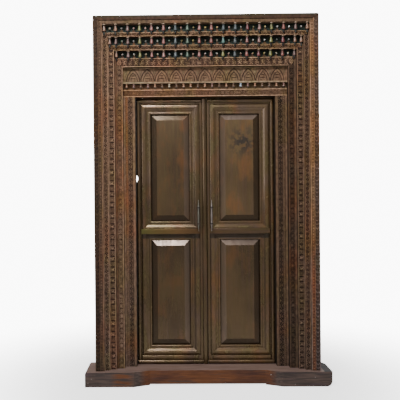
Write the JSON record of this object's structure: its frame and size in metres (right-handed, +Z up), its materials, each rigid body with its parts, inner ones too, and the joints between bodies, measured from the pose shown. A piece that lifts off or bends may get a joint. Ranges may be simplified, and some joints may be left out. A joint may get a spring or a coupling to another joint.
{
  "type": "carved timber doorway with two leaves",
  "caption": "Tall carved timber doorway with nested stepped frames, a lintel with rows of turned drops, a heavy sill and a pair of panelled leaves that swing inward.",
  "frame": {"origin": "middle of the underside of the sill, on the floor", "axes": "+Z up, +X to the right of a person facing the front, -Y out of the carved front"},
  "size_m": [1.856, 0.3, 2.8],
  "materials": {
    "sill_timber": "worn bare timber with traces of orange-red paint, purple-brown ends",
    "carved_timber": "old carved hardwood, dry matt brown with darker hollows",
    "plain_timber": "plain sawn hardwood",
    "recess_paint": "dark green-black old paint on timber",
    "drop_paint": "old faded paint in several colours on turned wood",
    "knob_paint": "pale old paint on turned wood",
    "leaf_frame": "dark bronze-brown aged satin surface",
    "leaf_panel": "dark bronze-brown aged satin surface with a slight sheen",
    "leaf_moulding": "dark bronze-brown aged satin surface, rubbed along the edges",
    "pull_iron": "forged dark iron, lightly rusted",
    "pivot_iron": "plain dark iron"
  },
  "bodies": {
    "frame": {"sill": "sill_timber", "outer_jamb_left": "carved_timber", "outer_jamb_right": "carved_timber", "outer_top_rail": "carved_timber", "second_jamb_left": "carved_timber", "second_jamb_right": "carved_timber", "second_head": "carved_timber", "third_jamb_left": "carved_timber", "third_jamb_right": "carved_timber", "third_head": "carved_timber", "fourth_jamb_left": "carved_timber", "fourth_jamb_right": "carved_timber", "fourth_head": "carved_timber", "inner_jamb_left": "carved_timber", "inner_jamb_right": "carved_timber", "inner_head": "carved_timber", "rear_lintel": "plain_timber", "upper_row_backing": "recess_paint", "middle_row_backing": "recess_paint", "lower_row_backing": "recess_paint", "upper_row_drops": "drop_paint", "middle_row_drops": "drop_paint", "lower_row_drops": "drop_paint", "row_knobs": "knob_paint", "frieze": "carved_timber", "frieze_pendants": "carved_timber", "sill_sockets": "pivot_iron", "lintel_bushes": "pivot_iron"},
    "left_leaf": {"left_hinge_stile": "leaf_frame", "left_meeting_stile": "leaf_frame", "left_top_rail": "leaf_frame", "left_mid_rail": "leaf_frame", "left_bottom_rail": "leaf_frame", "left_upper_panel": "leaf_panel", "left_lower_panel": "leaf_panel", "left_upper_moulding": "leaf_moulding", "left_lower_moulding": "leaf_moulding", "left_edge_moulding": "leaf_moulding", "left_cover_strip": "leaf_moulding", "left_pull": "pull_iron", "left_pull_eyes": "pull_iron", "left_top_pivot": "pivot_iron", "left_bottom_pivot": "pivot_iron"},
    "right_leaf": {"right_hinge_stile": "leaf_frame", "right_meeting_stile": "leaf_frame", "right_top_rail": "leaf_frame", "right_mid_rail": "leaf_frame", "right_bottom_rail": "leaf_frame", "right_upper_panel": "leaf_panel", "right_lower_panel": "leaf_panel", "right_upper_moulding": "leaf_moulding", "right_lower_moulding": "leaf_moulding", "right_edge_moulding": "leaf_moulding", "right_pull": "pull_iron", "right_pull_eyes": "pull_iron", "right_top_pivot": "pivot_iron", "right_bottom_pivot": "pivot_iron"}
  },
  "joints": [
    {"name": "left_leaf_swing", "type": "hinge", "parent": "frame", "child": "left_leaf", "pos_m": [-0.5155, 0.11, 1.164], "axis": [0, 0, 1], "range_deg": [0, 90]},
    {"name": "right_leaf_swing", "type": "hinge", "parent": "frame", "child": "right_leaf", "pos_m": [0.5155, 0.11, 1.164], "axis": [0, 0, -1], "range_deg": [0, 90]}
  ]
}
